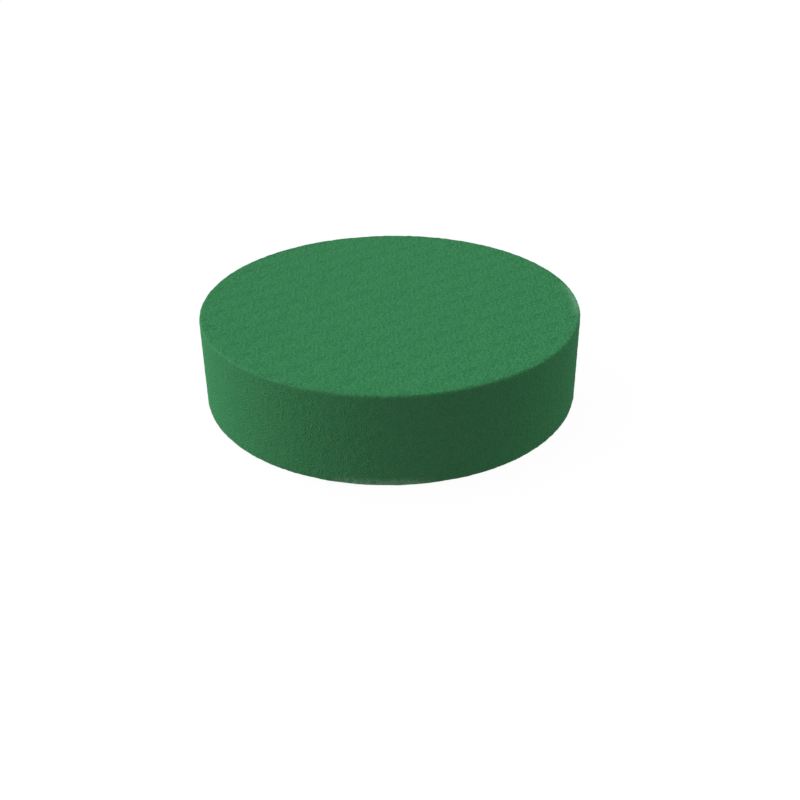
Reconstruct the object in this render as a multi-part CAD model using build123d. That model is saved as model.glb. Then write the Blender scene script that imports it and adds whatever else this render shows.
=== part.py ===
from build123d import *
import os

# A plain round block of rigid green floral foam, cut in one piece with a straight wall.
# Millimetres, +Z up, origin at the centre of the bottom face, which the disc stands on.

# Driving dimensions
DISC_DIAMETER = 200.0
DISC_HEIGHT = 50.0
TOP_RIM_RADIUS = 1.25     # the top edge is cut crisp and only just broken by handling
BOTTOM_RIM_RADIUS = 3.5   # the bottom edge is knocked as the block is set down, so it is rounder


def make_foam_disc():
    """The whole foam block: a short cylinder with both of its rims broken."""
    block = Cylinder(DISC_DIAMETER / 2, DISC_HEIGHT, align=(Align.CENTER, Align.CENTER, Align.MIN))
    bottom_rim, top_rim = block.edges().filter_by(GeomType.CIRCLE).sort_by(Axis.Z)
    block = fillet(top_rim, TOP_RIM_RADIUS)
    bottom_rim = block.edges().filter_by(GeomType.CIRCLE).sort_by(Axis.Z)[0]
    return fillet(bottom_rim, BOTTOM_RIM_RADIUS)


def main():
    os.makedirs("parts", exist_ok=True)
    foam_disc = make_foam_disc()
    foam_disc.label = "foam_disc"
    export_step(foam_disc, "parts/foam_disc.step")


main()
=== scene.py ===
"""A plain round block of rigid green floral foam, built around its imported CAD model."""

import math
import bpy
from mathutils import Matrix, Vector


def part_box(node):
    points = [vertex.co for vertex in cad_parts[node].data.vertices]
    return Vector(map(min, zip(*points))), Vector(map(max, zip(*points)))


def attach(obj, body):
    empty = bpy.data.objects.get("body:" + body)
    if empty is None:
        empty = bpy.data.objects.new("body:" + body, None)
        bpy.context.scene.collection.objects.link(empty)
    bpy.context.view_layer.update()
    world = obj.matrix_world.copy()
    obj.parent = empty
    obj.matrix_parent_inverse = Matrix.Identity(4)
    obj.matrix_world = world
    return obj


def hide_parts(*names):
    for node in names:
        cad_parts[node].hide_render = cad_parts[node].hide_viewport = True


bl_info = {
    "name": "Floral foam disc",
    "version": (1, 0, 0),
    "blender": (4, 5, 0),
    "location": "3D View > Sidebar > Foam disc",
    "description": "Cuts a round block of floral foam with its grain and its knocked and rubbed rims",
    "category": "Object",
}

import bpy
import numpy as np
from bpy.props import FloatProperty, FloatVectorProperty, IntProperty, PointerProperty
from mathutils import Matrix, Vector

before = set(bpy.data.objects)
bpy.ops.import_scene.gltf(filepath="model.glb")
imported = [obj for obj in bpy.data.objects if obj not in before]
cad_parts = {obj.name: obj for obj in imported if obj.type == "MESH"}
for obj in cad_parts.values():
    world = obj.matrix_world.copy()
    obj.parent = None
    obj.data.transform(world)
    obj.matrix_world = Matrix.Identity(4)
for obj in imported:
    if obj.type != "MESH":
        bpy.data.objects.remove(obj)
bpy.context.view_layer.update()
NODE_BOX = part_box("foam_disc")

MM = 0.001
TURN = 2 * math.pi
DISC_RADIUS = (NODE_BOX[1].x - NODE_BOX[0].x) / 2
DISC_HEIGHT = NODE_BOX[1].z - NODE_BOX[0].z
DISC_CENTRE = (NODE_BOX[0] + NODE_BOX[1]) / 2

# Rows of mesh cells round each rim, how much wider the underside's cells are than the top's, and the
# width of the ring that joins the two
RIM_ROWS = 4
UNDERSIDE_STEP = 3
UNDERSIDE_RING = 2.5 * MM

# Ripples: how many are summed, and their shortest and longest wavelengths
LOOSE_RIPPLES = (160, 2.8 * MM, 7 * MM)
WALL_RIPPLES = (200, 2.8 * MM, 8 * MM)
SWAY_RIPPLES = (14, 45 * MM, 120 * MM)
WALL_RIPPLE_TALL = 1.3
WALL_SWAY_TALL = 2.0

# Pressed grain: the most waves that fit in one pitch, and how strong those along the strokes are
PRESSED_WAVES = 4
PRESSED_ALONG = 0.3

# Nicks on each rim: their number, their widths in millimetres, and how far in and along Z they reach
NICK_COUNT = 70
NICK_WIDTHS = (0.5, 1.6)
TOP_NICK_REACH = (1.3 * MM, 1.6 * MM)
LOW_NICK_REACH = (2.2 * MM, 3.0 * MM)

# Azimuths run anticlockwise from +X and elevations up from the floor, in degrees. A place of painted
# highlight on a rim has the azimuth of its middle and its half width.
PAINTED_HIGHLIGHT_ABOVE = ((2, 14),)
PAINTED_HIGHLIGHT_BELOW = ((268, 16),)
KEY_AZIMUTH = 176
KEY_ELEVATION = 18
TENT_LEAN_AZIMUTH = 87

# The stage is a many-sided drum round the disc. The tent changes from its lower brightness to its
# upper one where a ray's rise, as a unit vector, is within TENT_HORIZON of level.
STAGE_REACH = 40 * DISC_RADIUS
STAGE_SIDES = 96
KEY_DISTANCE = 10 * DISC_RADIUS
TENT_HORIZON = 0.1
SENSOR_WIDTH = 36.0
CAMERA_CLIP = (0.01, 100.0)
WHITE = (1.0, 1.0, 1.0, 1.0)


# ---------------------------------------------------------------------------------------------
# What a user may change
# ---------------------------------------------------------------------------------------------

def length(name, description, default):
    """A length that the sidebar shows in the scene's units."""
    return FloatProperty(name=name, description=description, default=default, precision=5,
                         subtype="DISTANCE", unit="LENGTH")


def angle(name, description, degrees):
    """An angle, whose default is given in degrees."""
    return FloatProperty(name=name, description=description, default=math.radians(degrees),
                         subtype="ANGLE", unit="ROTATION")


def share(name, description, default, least=0.0):
    """A plain factor."""
    return FloatProperty(name=name, description=description, default=default, min=least)


def number(name, description, default, least=0):
    """A whole number."""
    return IntProperty(name=name, description=description, default=default, min=least)


def colour(name, description, default):
    """A linear colour."""
    return FloatVectorProperty(name=name, description=description, default=default, size=3,
                               min=0.0, max=1.0, subtype="COLOR")


class FoamBlockSettings(bpy.types.PropertyGroup):
    """Sizes of the block's mesh and of the relief that cutting, pressing and handling leave on it."""

    top_rim: length("Top rim", "Radius of the crisp upper edge", 1.25 * MM)
    bottom_rim: length("Bottom rim", "Radius of the knocked lower edge", 3.5 * MM)
    top_cells: number("Top cells", "Mesh cells across the top face, in threes", 216, 12)
    wall_rows: number("Wall rows", "Rows of mesh cells up the straight wall", 44, 4)
    press_pitch: length("Press pitch", "How often the pressed grain repeats on the flat faces", 12.9 * MM)
    press_turn: angle("Press turn", "How far the pressed grain's pattern is turned", 36)
    stroke_turn: angle("Stroke turn", "Which way the pressed ridges run", 56)
    press_depth: length("Press depth", "Height of the pressed grain of the flat faces", 0.05 * MM)
    grain_depth: length("Grain depth", "Height of the loose grain of the flat faces", 0.035 * MM)
    wall_depth: length("Wall depth", "Height of the wall's grain", 0.05 * MM)
    sway_depth: length("Sway depth", "How far the faces wander from true", 0.04 * MM)
    nick_depth: length("Nick depth", "Depth of the nicks along the rims", 0.12 * MM)
    seed: number("Seed", "Start of the random draws", 7)


class FoamFinishSettings(bpy.types.PropertyGroup):
    """Colours of the foam, with painted shade in its creases and cells and painted highlights on its rims,
    and its fine relief.
    """

    foam: colour("Foam", "Colour of the cut foam's ridges", (0.0484, 0.2630, 0.1011))
    # The crease colour is painted shade, laid down in the creases and open cells
    crease: colour("Crease", "Colour down in the creases and open cells", (0.0261, 0.1500, 0.0560))
    # The dust colour also paints the pale highlights on the rims
    dust: colour("Dust", "Colour of rubbed, dusty foam", (0.3000, 0.5600, 0.3900))
    cell_size: length("Cell size", "Width of the foam's open cells", 0.7 * MM)
    cell_depth: length("Cell depth", "Depth of the foam's open cells", 0.03 * MM)
    crease_size: length("Crease size", "Width of the finest creases", 0.8 * MM)
    crease_depth: length("Crease depth", "Height of the finest creases", 1.0 * MM)
    break_size: length("Break size", "Width of the breaks in the worn rims", 2.2 * MM)
    blotch_size: length("Blotch size", "Width of the pressed blotches of tone", 5.0 * MM)
    patch_size: length("Patch size", "Width of the dusty patches", 6.0 * MM)
    mottle_size: length("Mottle size", "Width of the broad changes of tone", 26.0 * MM)
    pressed_share: share("Pressed share", "How much of the flat faces' fine grain is pressed", 0.75)
    # Cell shade sets how far painted shade darkens the open cells
    cell_painted_shade: share("Cell shade", "How much the open cells take the crease colour", 0.25)
    tone_range: share("Tone range", "How far the mottle and the blotches change the tone", 0.08)
    patch_dust: share("Patch dust", "How much dust shows in the dusty patches", 0.015)
    rim_dust: share("Rim dust", "How much dust shows all round the rims", 0.04)
    # Strength of the painted highlights on the right of the upper rim and the front of the lower rim
    rim_painted_highlight: share("Rubbed dust", "How much dust shows where handling has rubbed the rims", 0.4)


class FoamStageSettings(bpy.types.PropertyGroup):
    """Floor, light and camera."""

    floor: colour("Floor", "Colour of the plain floor", (0.05, 0.05, 0.05))
    glow: share("Glow", "How brightly the floor glows by itself", 0.96)
    backdrop_glow: share("Backdrop glow", "How brightly the backdrop glows by itself", 1.01)
    key: share("Key", "Strength of the one lamp, low on the left", 2.55)
    key_spread: angle("Key spread", "How broad the lamp looks from the disc", 80)
    tent_above: share("Tent above", "Brightness of the light tent overhead", 0.794)
    tent_below: share("Tent below", "Brightness that the light tent returns from the floor", 0.746)
    tent_lean: colour("Tent lean", "Light that the tent gains behind the disc and lacks before it",
                      (0.354, 0.612, 0.540))
    lens: FloatProperty(name="Lens", description="Focal length of the camera, in millimetres",
                        default=46.87, min=1.0, subtype="DISTANCE_CAMERA")
    distance: length("Distance", "From the camera to the middle of the disc", 5.654 * DISC_RADIUS)
    pitch: angle("Pitch", "How far the camera looks down", 29.86)
    roll: angle("Roll", "How far the camera leans over", -0.474)
    aside: share("Aside", "How far the disc stands right of the view's middle, by its distance",
                 -0.00919, -1.0)
    above: share("Above", "How far the disc stands above the view's middle, by its distance",
                 0.05269, -1.0)


# ---------------------------------------------------------------------------------------------
# Relief: smooth random heights, in metres
# ---------------------------------------------------------------------------------------------

def draw_waves(draw, count, shortest, longest):
    """Wave numbers, headings and phases of random waves."""
    wave = TURN / np.exp(draw.uniform(math.log(shortest), math.log(longest), count))
    heading, phase = draw.uniform(0, TURN, (2, count))
    return wave, heading, phase


def ripples(x, y, draw, count, shortest, longest):
    """Random ripples of unit strength with no repeat."""
    wave, heading, phase = draw_waves(draw, count, shortest, longest)
    height = np.zeros(len(x))
    for k, a, p in zip(wave, heading, phase):
        height += np.cos(k * (math.cos(a) * x + math.sin(a) * y) + p)
    return height * math.sqrt(2 / count)


def wall_ripples(around, z, draw, tall, count, shortest, longest):
    """Random ripples of unit strength round the wall, tall times as high as wide.

    Each goes round in a whole number of waves, so that it closes."""
    wave, heading, phase = draw_waves(draw, count, shortest, longest)
    turns, rises = np.round(wave * np.cos(heading) * DISC_RADIUS), wave * np.sin(heading) / tall
    height = np.zeros(len(around))
    for m, k, p in zip(turns, rises, phase):
        height += np.cos(m * around + k * z + p)
    return height * math.sqrt(2 / count)


def pressed_grain(x, y, draw, pitch, turn, strokes):
    """Grain of unit strength that repeats on a square pitch, in ridges that run mostly along the strokes."""
    u = (math.cos(turn) * x + math.sin(turn) * y) * TURN / pitch
    v = (math.cos(turn) * y - math.sin(turn) * x) * TURN / pitch
    height, power = np.zeros(len(x)), 0.0
    for i in range(-PRESSED_WAVES, PRESSED_WAVES + 1):
        for j in range(0, PRESSED_WAVES + 1):
            waves = math.hypot(i, j)
            phase, size = draw.uniform(0, TURN), draw.uniform(0.5, 1.5)
            if waves > PRESSED_WAVES or (j == 0 and i <= 0):
                continue
            size *= (PRESSED_ALONG + math.sin(math.atan2(j, i) + turn - strokes) ** 2) / waves
            height += size * np.cos(i * u + j * v + phase)
            power += size * size / 2
    return height / math.sqrt(power)


def rim_nicks(around, draw):
    """Depths, from 0 to 1, of small nicks scattered along a rim."""
    place = draw.uniform(-math.pi, math.pi, NICK_COUNT)
    depth = draw.uniform(0.2, 1.0, NICK_COUNT) ** 2
    width = draw.uniform(*NICK_WIDTHS, NICK_COUNT) * MM / DISC_RADIUS
    nick = np.zeros(len(around))
    for a, d, w in zip(place, depth, width):
        off = (around - a + math.pi) % TURN - math.pi
        nick = np.maximum(nick, d * np.exp(-((off / w) ** 2)))
    return nick


def near(inward, along, reach):
    """1 at an edge, fading inward and along Z."""
    return np.exp(-((inward / reach[0]) ** 2)) * np.exp(-((along / reach[1]) ** 2))


def relief(points, slope, s):
    """How far each point of the bare disc stands proud of it, in metres."""
    x, y, z = points.T
    around, inward = np.arctan2(y, x), DISC_RADIUS - np.hypot(x, y)
    draw = np.random.default_rng(s.seed)
    face, wall = slope * slope, 1 - slope * slope
    flat = s.press_depth * pressed_grain(x, y, draw, s.press_pitch, s.press_turn, s.stroke_turn)
    flat += s.grain_depth * ripples(x, y, draw, *LOOSE_RIPPLES)
    flat += s.sway_depth * ripples(x, y, draw, *SWAY_RIPPLES)
    side = s.wall_depth * wall_ripples(around, z, draw, WALL_RIPPLE_TALL, *WALL_RIPPLES)
    side += s.sway_depth * wall_ripples(around, z, draw, WALL_SWAY_TALL, *SWAY_RIPPLES)
    height = face * flat + wall * side
    height -= s.nick_depth * near(inward, DISC_HEIGHT - z, TOP_NICK_REACH) * rim_nicks(around, draw)
    height -= s.nick_depth * near(inward, z, LOW_NICK_REACH) * rim_nicks(around, draw)
    return height


# ---------------------------------------------------------------------------------------------
# The block's mesh
# ---------------------------------------------------------------------------------------------

def disc_grid(cells):
    """Points of a square grid drawn out to the unit disc with all its cells equal in area."""
    side = np.linspace(-1, 1, cells + 1)
    a, b = (g.ravel() for g in np.meshgrid(side, side, indexing="ij"))
    across = np.abs(a) > np.abs(b)
    reach = np.where(across, a, b)
    safe = np.where(reach == 0, 1, reach)
    around = np.where(across, math.pi / 4 * b / safe, math.pi / 2 - math.pi / 4 * a / safe)
    return reach * np.cos(around), reach * np.sin(around)


def grid_faces(cells):
    """Corner numbers of the grid's cells, anticlockwise seen from above."""
    i, j = (g.ravel() for g in np.meshgrid(np.arange(cells), np.arange(cells), indexing="ij"))
    corner = i * (cells + 1) + j
    return np.stack([corner, corner + cells + 1, corner + cells + 2, corner + 1], axis=1)


def grid_border(cells):
    """The grid's border points, anticlockwise from the corner at minus 45 degrees."""
    n, step = np.arange(cells), cells + 1
    right, top = cells * step + n, (cells - n) * step + cells
    left, low = cells - n, n * step
    return np.concatenate([right, top, left, low])


class BlockMesh:
    """Gathers rings and grids of points, the faces between them, and the slope of the skin at each point.

    The slope is the outward normal's rise: 1 faces up, 0 out and -1 down."""

    def __init__(self):
        self.points, self.slopes, self.quads, self.triangles, self.count = [], [], [], [], 0

    def add(self, x, y, z, slope):
        """Adds points on one level and returns their numbers."""
        self.points.append(np.stack([x, y, np.full(len(x), z)], axis=1))
        self.slopes.append(np.full(len(x), slope))
        first, self.count = self.count, self.count + len(x)
        return np.arange(first, self.count)

    def ring(self, count, radius, z, slope):
        """Adds one ring of points round the axis."""
        around = -math.pi / 4 + np.arange(count) * TURN / count
        return self.add(radius * np.cos(around), radius * np.sin(around), z, slope)

    def band(self, upper, lower):
        """Joins two rings of as many points."""
        self.quads.append(np.stack([upper, lower, np.roll(lower, -1), np.roll(upper, -1)], axis=1))

    def gather(self, outer, inner):
        """Joins a ring on the underside to an inner one with a third of its points."""
        after = np.roll(outer, -1)
        a, b, c, d = outer[0::3], outer[1::3], outer[2::3], after[2::3]
        this, following = inner, np.roll(inner, -1)
        for corners in ((a, this, b), (b, this, following), (b, following, c), (c, following, d)):
            self.triangles.append(np.stack(corners, axis=1))


def wall_profile(s):
    """Radius, height and slope of each ring, from the upper rim down the wall and round the lower rim."""
    profile = []
    for step in range(1, RIM_ROWS + 1):
        a = math.pi / 2 * (1 - step / RIM_ROWS)
        profile.append((DISC_RADIUS - s.top_rim + s.top_rim * math.cos(a),
                        DISC_HEIGHT - s.top_rim * (1 - math.sin(a)), math.sin(a)))
    wall_top, wall_low = DISC_HEIGHT - s.top_rim, s.bottom_rim
    for step in range(1, s.wall_rows + 1):
        profile.append((DISC_RADIUS, wall_top + (wall_low - wall_top) * step / s.wall_rows, 0.0))
    for step in range(1, RIM_ROWS + 1):
        a = math.pi / 2 * step / RIM_ROWS
        profile.append((DISC_RADIUS - s.bottom_rim * (1 - math.cos(a)),
                        s.bottom_rim * (1 - math.sin(a)), -math.sin(a)))
    return profile


def block_mesh(s):
    """The bare disc: top grid, upper rim, wall, lower rim and underside, in one closed skin."""
    made = BlockMesh()
    x, y = disc_grid(s.top_cells)
    flat = DISC_RADIUS - s.top_rim
    top = made.add(x * flat, y * flat, DISC_HEIGHT, 1.0)
    made.quads.append(top[grid_faces(s.top_cells)])
    last = top[grid_border(s.top_cells)]
    for radius, z, slope in wall_profile(s):
        ring = made.ring(len(last), radius, z, slope)
        made.band(last, ring)
        last = ring
    under_cells = s.top_cells // UNDERSIDE_STEP
    x, y = disc_grid(under_cells)
    foot = DISC_RADIUS - s.bottom_rim - UNDERSIDE_RING
    under = made.add(x * foot, y * foot, 0.0, -1.0)
    made.quads.append(under[grid_faces(under_cells)[:, ::-1]])
    made.gather(last, under[grid_border(under_cells)])
    return made


def cut_block(s):
    """Makes the foam block as one closed mesh and returns its object."""
    made = block_mesh(s)
    points, slope = np.concatenate(made.points), np.concatenate(made.slopes)
    around = np.arctan2(points[:, 1], points[:, 0])
    level = np.sqrt(1 - slope * slope)
    outward = np.stack([level * np.cos(around), level * np.sin(around), slope], axis=1)
    points = points + outward * relief(points, slope, s)[:, None]
    faces = np.concatenate(made.quads).tolist() + np.concatenate(made.triangles).tolist()
    mesh = bpy.data.meshes.new("foam_block")
    mesh.from_pydata(points.tolist(), [], faces)
    mesh.shade_smooth()
    if mesh.validate():
        raise RuntimeError("the foam block's mesh had faults")
    block = bpy.data.objects.new("foam_block", mesh)
    bpy.context.scene.collection.objects.link(block)
    return block


# ---------------------------------------------------------------------------------------------
# Materials
# ---------------------------------------------------------------------------------------------

class Wire:
    """One value in a material. Sums, differences and products of it add Math nodes."""

    def __init__(self, finish, socket):
        self.finish, self.socket = finish, socket

    def maths(self, operation, *values):
        """The wire that leaves a Math node of that operation on values."""
        node = self.finish.add("ShaderNodeMath", {"operation": operation}, dict(enumerate(values)))
        return self.finish.out(node)

    def __add__(self, other):
        return self.maths("ADD", self, other)

    def __radd__(self, other):
        return self.maths("ADD", other, self)

    def __sub__(self, other):
        return self.maths("SUBTRACT", self, other)

    def __rsub__(self, other):
        return self.maths("SUBTRACT", other, self)

    def __mul__(self, other):
        return self.maths("MULTIPLY", self, other)

    def __rmul__(self, other):
        return self.maths("MULTIPLY", other, self)

    def __truediv__(self, other):
        return self.maths("DIVIDE", self, other)

    def __abs__(self):
        return self.maths("ABSOLUTE", self)

    def sine(self):
        return self.maths("SINE", self)

    def cosine(self):
        return self.maths("COSINE", self)

    def step(self, start, end):
        """0 before start, 1 after end, and an even curve between them. start may be the larger."""
        node = self.finish.add("ShaderNodeMapRange", {"interpolation_type": "SMOOTHSTEP"},
                               {"Value": self, "From Min": start, "From Max": end})
        return self.finish.out(node)


class Finish:
    """The node tree of one material or of the world. Its lengths are in millimetres."""

    def __init__(self, owner):
        owner.use_nodes = True
        self.owner, self.tree = owner, owner.node_tree
        self.tree.nodes.clear()

    def add(self, kind, settings=None, sockets=None):
        """Adds a node, sets its settings first, and then fills or links its sockets."""
        node = self.tree.nodes.new(kind)
        for key, value in (settings or {}).items():
            setattr(node, key, value)
        for key, value in (sockets or {}).items():
            if isinstance(value, Wire):
                self.tree.links.new(value.socket, node.inputs[key])
            else:
                node.inputs[key].default_value = value
        return node

    def out(self, node, name=0):
        """The wire that leaves a node by that socket."""
        return Wire(self, node.outputs[name])

    def vector(self, operation, sockets):
        """The node of a sum, product or the like of vectors."""
        return self.add("ShaderNodeVectorMath", {"operation": operation}, sockets)

    def axes(self, vector):
        """A vector's three parts."""
        parts = self.add("ShaderNodeSeparateXYZ", None, {0: vector})
        return [self.out(parts, axis) for axis in "XYZ"]

    def coordinate(self, name):
        """One of the coordinates of the point being shaded."""
        return self.out(self.add("ShaderNodeTexCoord"), name)

    def place(self):
        """The point being shaded, in the block's own frame."""
        return self.out(self.vector("SCALE", {0: self.coordinate("Object"), "Scale": 1 / MM}))

    def noise(self, place, size, detail=2.0, roughness=0.5):
        """Soft noise from 0 to 1 whose lumps are about as wide as size."""
        node = self.add("ShaderNodeTexNoise", {"noise_dimensions": "3D"},
                        {"Vector": place, "Scale": 1 / size, "Detail": detail, "Roughness": roughness})
        return self.out(node, "Fac")

    def ring_noise(self, place, pitch, turn, size):
        """Soft noise that repeats on a square pitch, in strokes two and a half times as long as wide.

        It winds two slanting ways across the face round two rings in four dimensions. The first ring
        is the smaller, so that less of the noise passes along the strokes than across them."""
        x, y, _ = self.axes(place)
        wind, reach = TURN / pitch, pitch / TURN
        u = x * (wind * math.cos(turn)) + y * (wind * math.sin(turn))
        v = y * (wind * math.cos(turn)) - x * (wind * math.sin(turn))
        slant, small, large = v - u, 0.8 * reach, 1.2 * reach
        wound = self.add("ShaderNodeCombineXYZ", None, {
            "X": slant.cosine() * small, "Y": slant.sine() * small, "Z": v.cosine() * large})
        node = self.add("ShaderNodeTexNoise", {"noise_dimensions": "4D"},
                        {"Vector": self.out(wound), "W": v.sine() * large, "Scale": 1 / size,
                         "Detail": 2.0})
        return self.out(node, "Fac")

    def cells(self, place, size):
        """Distance from the middle of the nearest cell, with cells about as wide as size."""
        node = self.add("ShaderNodeTexVoronoi", {"feature": "F1", "voronoi_dimensions": "3D"},
                        {"Vector": place, "Scale": 1 / size})
        return self.out(node, "Distance")

    def blend(self, amount, low, high):
        """A colour that goes from low to high with amount."""
        low, high = (c if isinstance(c, Wire) else (*c, 1.0) for c in (low, high))
        node = self.add("ShaderNodeMix", {"data_type": "RGBA"}, {0: amount, 6: low, 7: high})
        return self.out(node, 2)

    def bump(self, height, distance, under=None):
        """The surface's slope with height, laid over an earlier slope. distance is in metres."""
        sockets = {"Height": height, "Distance": distance, "Strength": 1.0}
        if under is not None:
            sockets["Normal"] = under
        return self.out(self.add("ShaderNodeBump", None, sockets), "Normal")

    def surface(self, shader, kind="ShaderNodeOutputMaterial"):
        """Makes a shader the whole finish, and returns the finish's owner."""
        self.add(kind, None, {"Surface": self.out(shader)})
        return self.owner


def rim_dust_and_highlight(f, place, radius, s):
    """How much pale colour shows on the rims: a trace of dust all round, and painted highlights at two
    places.
    """
    x, y, height = f.axes(place)
    top, edge = DISC_HEIGHT / MM, DISC_RADIUS / MM
    breaks = f.noise(place, s.break_size / MM, 2.0, 0.6)
    outer = radius.step(edge - 2.2, edge - 0.2)
    upper, lower = height.step(top - 1.8, top - 0.3), height.step(3.2, 0.6)
    wear = outer * (upper + lower) * breaks.step(0.35, 0.65) * s.rim_dust
    # Painted highlights, in the dust colour, on the right of the upper rim and the front of the lower rim
    for places, close in ((PAINTED_HIGHLIGHT_ABOVE, height.step(top - 4, top - 0.5)),
                          (PAINTED_HIGHLIGHT_BELOW, height.step(6.5, 1.5))):
        for azimuth, half_width in places:
            a, spread = math.radians(azimuth), math.radians(half_width)
            toward = (x * math.cos(a) + y * math.sin(a)) / radius
            rubbed = toward.step(math.cos(spread), math.cos(0.3 * spread)) * close * breaks.step(0.1, 0.7)
            wear = wear + rubbed * radius.step(edge - 6, edge) * s.rim_painted_highlight
    return wear


def foam_finish(s, cut):
    """Matt and dusty cut phenolic foam, with painted shade in its cells and fine creases and painted
    highlights on its pale rims.
    """
    f = Finish(bpy.data.materials.new("cut_floral_foam"))
    place = f.place()
    level = f.vector("MULTIPLY", {0: place, 1: (1.0, 1.0, 0.0)})
    radius = f.out(f.vector("LENGTH", {0: f.out(level)}), "Value")
    wall = abs(f.axes(f.coordinate("Normal"))[2]).step(0.85, 0.35)

    # The flat faces carry mostly pressed grain, and the wall only loose grain
    pitch = cut.press_pitch / MM
    pressed = f.ring_noise(place, pitch, cut.press_turn, s.crease_size / MM)
    loose = f.noise(place, s.crease_size / MM)
    grain = loose + (1 - wall) * (pressed - loose) * s.pressed_share
    blotch = f.ring_noise(place, pitch, cut.press_turn, s.blotch_size / MM)
    mottle = f.noise(place, s.mottle_size / MM, 3.0)
    patches = f.noise(place, s.patch_size / MM)
    cell = f.cells(place, s.cell_size / MM)

    # Painted shade: the creases and open cells are painted darker than the ridges, and less so on the wall
    ridge = grain.step(0.37, 0.63)
    ridge = ridge + wall * (0.5 - ridge) * 0.8
    body = f.blend(ridge, s.crease, s.foam)
    # Painted shade darkens the open cells towards the crease colour
    body = f.blend(cell.step(0.42, 0.12) * s.cell_painted_shade, body, s.crease)
    # Dust in patches and round the rims, and the rims' painted highlights, all in the dust colour
    dusty = patches.step(0.45, 0.75) * s.patch_dust + rim_dust_and_highlight(f, place, radius, s)
    body = f.blend(dusty, body, s.dust)
    tone = 0.97 + mottle * s.tone_range + (1 - wall) * (blotch - 0.5) * s.tone_range
    shade = f.add("ShaderNodeHueSaturation", None, {"Value": tone, "Color": body})

    slope = f.bump(cell, s.cell_depth, f.bump(grain, s.crease_depth))
    return f.surface(f.add("ShaderNodeBsdfPrincipled", None, {
        "Base Color": f.out(shade), "Roughness": 0.82 + 0.14 * patches, "Normal": slope,
        "Specular IOR Level": 0.03}))


def floor_finish(s):
    """A plain sheet whose glow burns it out to white."""
    f = Finish(bpy.data.materials.new("studio_floor"))
    return f.surface(f.add("ShaderNodeBsdfPrincipled", None, {
        "Base Color": (*s.floor, 1.0), "Roughness": 0.9, "Specular IOR Level": 0.0,
        "Emission Color": WHITE, "Emission Strength": s.glow}))


def backdrop_finish(s):
    """A white that glows by itself."""
    f = Finish(bpy.data.materials.new("studio_backdrop"))
    return f.surface(f.add("ShaderNodeEmission", None, {"Color": WHITE, "Strength": s.backdrop_glow}))


# ---------------------------------------------------------------------------------------------
# The stage
# ---------------------------------------------------------------------------------------------

def direction(azimuth, elevation):
    """The unit vector that points that way, in degrees."""
    a, e = math.radians(azimuth), math.radians(elevation)
    return Vector((math.cos(a) * math.cos(e), math.sin(a) * math.cos(e), math.sin(e)))


def stage_piece(name, vertices, faces, material, unseen_by):
    """A mesh that belongs to the studio and not to the foam. unseen_by names kinds of ray."""
    mesh = bpy.data.meshes.new(name)
    mesh.from_pydata(vertices, [], faces)
    mesh.materials.append(material)
    piece = bpy.data.objects.new(name, mesh)
    bpy.context.scene.collection.objects.link(piece)
    for ray in unseen_by:
        setattr(piece, "visible_" + ray, False)


def stage_ring(z):
    """The corners of the stage's outline at that height."""
    turns = [TURN * k / STAGE_SIDES for k in range(STAGE_SIDES)]
    return [(STAGE_REACH * math.cos(a), STAGE_REACH * math.sin(a), z) for a in turns]


def lay_floor(s):
    """A wide round floor that the disc stands on, and a glowing drum round it for the camera alone."""
    ground = NODE_BOX[0].z
    outline = stage_ring(ground)
    stage_piece("studio_floor", outline, [tuple(range(STAGE_SIDES))], floor_finish(s),
                ("diffuse", "glossy", "shadow"))
    walls = [(k, (k + 1) % STAGE_SIDES, STAGE_SIDES + (k + 1) % STAGE_SIDES, STAGE_SIDES + k)
             for k in range(STAGE_SIDES)]
    lid = tuple(range(STAGE_SIDES, 2 * STAGE_SIDES))
    stage_piece("studio_backdrop", outline + stage_ring(ground + STAGE_REACH), walls + [lid],
                backdrop_finish(s), ("diffuse", "glossy", "shadow", "transmission", "volume_scatter"))


def hang_key(s):
    """One soft lamp, far off and low on the left."""
    lamp = bpy.data.lights.new("key_light", "SUN")
    lamp.energy, lamp.angle = s.key, s.key_spread
    light = bpy.data.objects.new("key_light", lamp)
    source = direction(KEY_AZIMUTH, KEY_ELEVATION)
    light.rotation_mode = "QUATERNION"
    light.rotation_quaternion = source.to_track_quat("Z", "Y")
    light.location = DISC_CENTRE + source * KEY_DISTANCE
    bpy.context.scene.collection.objects.link(light)


def pitch_tent(s):
    """A light tent round the disc, brighter behind it than before it."""
    f = Finish(bpy.data.worlds.new("light_tent"))
    bpy.context.scene.world = f.owner
    x, y, z = f.axes(f.coordinate("Generated"))
    even = s.tent_below + z.step(-TENT_HORIZON, TENT_HORIZON) * (s.tent_above - s.tent_below)
    lean = direction(TENT_LEAN_AZIMUTH, 0)
    glow = f.vector("MULTIPLY_ADD", {0: x * lean.x + y * lean.y, 1: tuple(s.tent_lean), 2: even})
    f.surface(f.add("ShaderNodeBackground", None, {"Color": f.out(glow), "Strength": 1.0}),
              "ShaderNodeOutputWorld")


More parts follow.
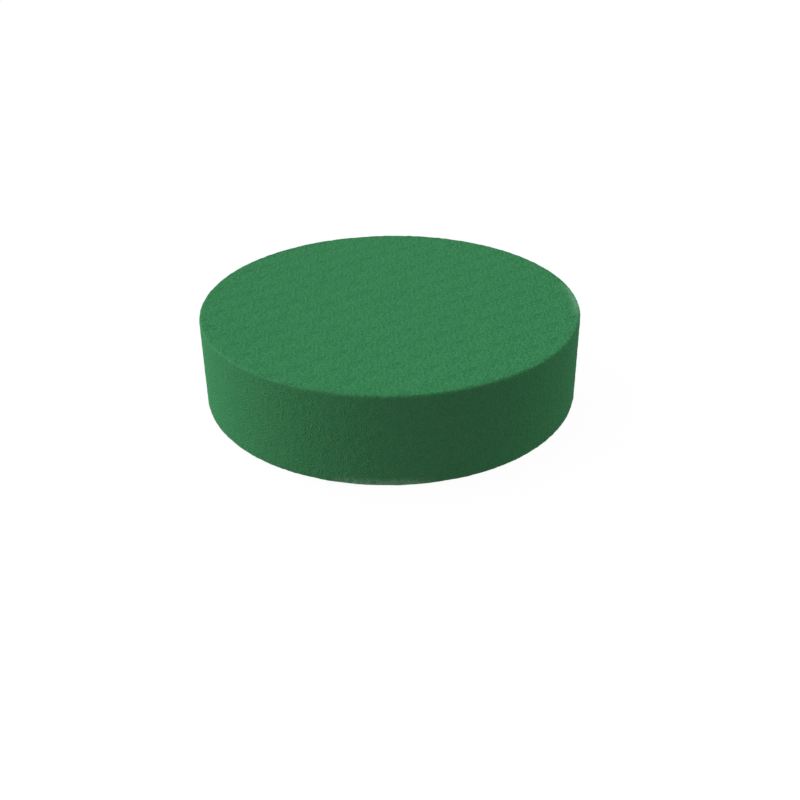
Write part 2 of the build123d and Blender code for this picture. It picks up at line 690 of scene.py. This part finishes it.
def set_camera(s):
    """A camera that looks down on the disc from the front, and leans over by the roll."""
    data = bpy.data.cameras.new("camera")
    data.sensor_width, data.lens = SENSOR_WIDTH, s.lens
    data.clip_start, data.clip_end = CAMERA_CLIP
    ahead = Vector((0, math.cos(s.pitch), -math.sin(s.pitch)))
    right, up = Vector((1, 0, 0)), Vector((0, math.sin(s.pitch), math.cos(s.pitch)))
    across = right * math.cos(s.roll) + up * math.sin(s.roll)
    upward = up * math.cos(s.roll) - right * math.sin(s.roll)
    place = DISC_CENTRE - s.distance * (ahead + s.aside * across + s.above * upward)
    camera = bpy.data.objects.new("camera", data)
    camera.matrix_world = Matrix.Translation(place) @ Matrix((across, upward, -ahead)).transposed().to_4x4()
    bpy.context.scene.collection.objects.link(camera)
    bpy.context.scene.camera = camera


# ---------------------------------------------------------------------------------------------
# Operators and panel
# ---------------------------------------------------------------------------------------------

class FOAM_OT_block(bpy.types.Operator):
    """Cut the round foam block and give it the foam's finish"""

    bl_idname = "foam_disc.block"
    bl_label = "Foam block"

    def execute(self, context):
        cut = context.scene.foam_block
        block = cut_block(cut)
        block.data.materials.append(foam_finish(context.scene.foam_finish, cut))
        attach(block, "root")
        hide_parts("foam_disc")
        return {"FINISHED"}


class FOAM_OT_stage(bpy.types.Operator):
    """Lay the pale floor, hang the soft lights and set up the camera"""

    bl_idname = "foam_disc.stage"
    bl_label = "Stage"

    def execute(self, context):
        s = context.scene.foam_stage
        context.scene.view_settings.view_transform = "Standard"
        lay_floor(s)
        hang_key(s)
        pitch_tent(s)
        set_camera(s)
        return {"FINISHED"}


class FOAM_PT_sidebar(bpy.types.Panel):
    """Lists the foam disc's pieces and their settings"""

    bl_idname = "FOAM_PT_sidebar"
    bl_label = "Foam disc"
    bl_space_type = "VIEW_3D"
    bl_region_type = "UI"
    bl_category = "Foam disc"

    def draw(self, context):
        for group, operator in (("foam_block", FOAM_OT_block), ("foam_finish", None),
                                ("foam_stage", FOAM_OT_stage)):
            settings = getattr(context.scene, group)
            column = self.layout.box().column()
            for key in settings.__annotations__:
                column.prop(settings, key)
            if operator:
                column.operator(operator.bl_idname)


GROUPS = {"foam_block": FoamBlockSettings, "foam_finish": FoamFinishSettings,
          "foam_stage": FoamStageSettings}
CLASSES = (*GROUPS.values(), FOAM_OT_block, FOAM_OT_stage, FOAM_PT_sidebar)


def register():
    for cls in CLASSES:
        bpy.utils.register_class(cls)
    for name, group in GROUPS.items():
        setattr(bpy.types.Scene, name, PointerProperty(type=group))


def unregister():
    for name in GROUPS:
        delattr(bpy.types.Scene, name)
    for cls in reversed(CLASSES):
        bpy.utils.unregister_class(cls)


def main():
    register()
    bpy.ops.foam_disc.block()
    bpy.ops.foam_disc.stage()


if __name__ == "__main__":
    main()
